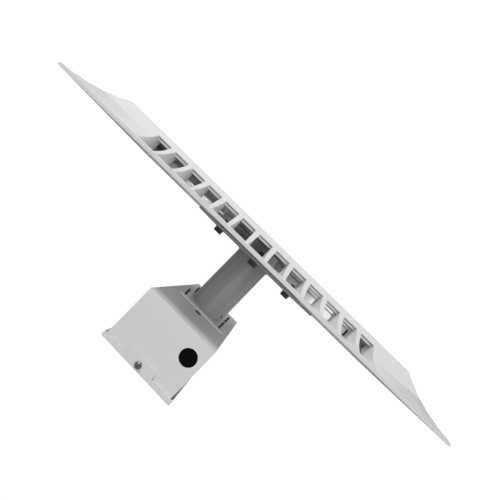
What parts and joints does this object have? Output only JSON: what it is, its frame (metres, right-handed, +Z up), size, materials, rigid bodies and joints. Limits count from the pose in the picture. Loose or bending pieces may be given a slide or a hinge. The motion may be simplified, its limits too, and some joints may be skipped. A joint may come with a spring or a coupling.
{
  "type": "solar street lamp",
  "caption": "Solar street lamp: a wide vented tray with a solar panel on top, carried by a round column over a folded lamp housing with a screwed, hinged base cover.",
  "frame": {"origin": "on the column's axis, at the bottom face of the base cover", "axes": "+X along the tray, +Z up the column; the screw tab of the cover faces -Y"},
  "size_m": [0.786, 0.435, 0.2904],
  "materials": {
    "white_paint": "satin powder coat, faint orange peel",
    "grey_paint": "satin silver-grey powder coat",
    "steel": "plated steel",
    "dark_steel": "dull dark plated steel",
    "aluminium": "satin anodised",
    "rubber": "matt black",
    "black_plastic": "matt black moulding",
    "grey_plastic": "matt pale moulding",
    "clear_plastic": "clear moulded optic",
    "panel_glass": "low-iron cover glass",
    "solar_cell": "dark blue cells with thin silver fingers",
    "white_board": "white film and solder mask",
    "cell_wrap": "blue shrink wrap"
  },
  "bodies": {
    "base": {"housing_shell": "white_paint", "entry_grommet": "rubber", "top_plug": "rubber", "base_flange": "white_paint", "flange_stud_1": "dark_steel", "flange_stud_2": "dark_steel", "flange_stud_3": "dark_steel", "flange_stud_4": "dark_steel", "hinge_bracket_1": "white_paint", "hinge_bracket_2": "white_paint", "hinge_pin_1": "steel", "hinge_pin_2": "steel", "led_driver": "black_plastic", "charge_controller": "black_plastic", "terminal_block": "grey_plastic"},
    "head": {"tray_skirt": "white_paint", "tray_floor": "white_paint", "column_tube": "grey_paint", "top_plate": "grey_paint", "grub_screw_1": "steel", "grub_screw_2": "steel", "plate_bolt_1": "dark_steel", "plate_bolt_2": "dark_steel", "plate_bolt_3": "dark_steel", "plate_bolt_4": "dark_steel", "plate_nut_1": "dark_steel", "plate_nut_2": "dark_steel", "plate_nut_3": "dark_steel", "plate_nut_4": "dark_steel", "panel_frame": "aluminium", "panel_glass": "panel_glass", "solar_cells": "solar_cell", "panel_backsheet": "white_board", "junction_box": "grey_plastic", "battery_tub_1": "grey_plastic", "battery_tub_2": "grey_plastic", "battery_lid_1": "grey_plastic", "battery_lid_2": "grey_plastic", "battery_cells_1": "cell_wrap", "battery_cells_2": "cell_wrap"},
    "cover": {"base_cover": "white_paint", "cover_gasket": "rubber", "cover_screw": "steel", "cover_screw_nut": "steel", "led_lens_front": "clear_plastic", "led_lens_rear": "clear_plastic", "led_board_front": "white_board", "led_board_rear": "white_board", "heat_sink": "aluminium"}
  },
  "joints": [
    {"name": "head_swivel", "type": "hinge", "parent": "base", "child": "head", "pos_m": [0, 0, 0.1063], "axis": [0, 0, 1], "range_deg": [-90, 90]},
    {"name": "cover_hinge", "type": "hinge", "parent": "base", "child": "cover", "pos_m": [0.01652, 0.1948, 0.021], "axis": [0.9959, -0.0906, 0], "range_deg": [0, 95]}
  ]
}
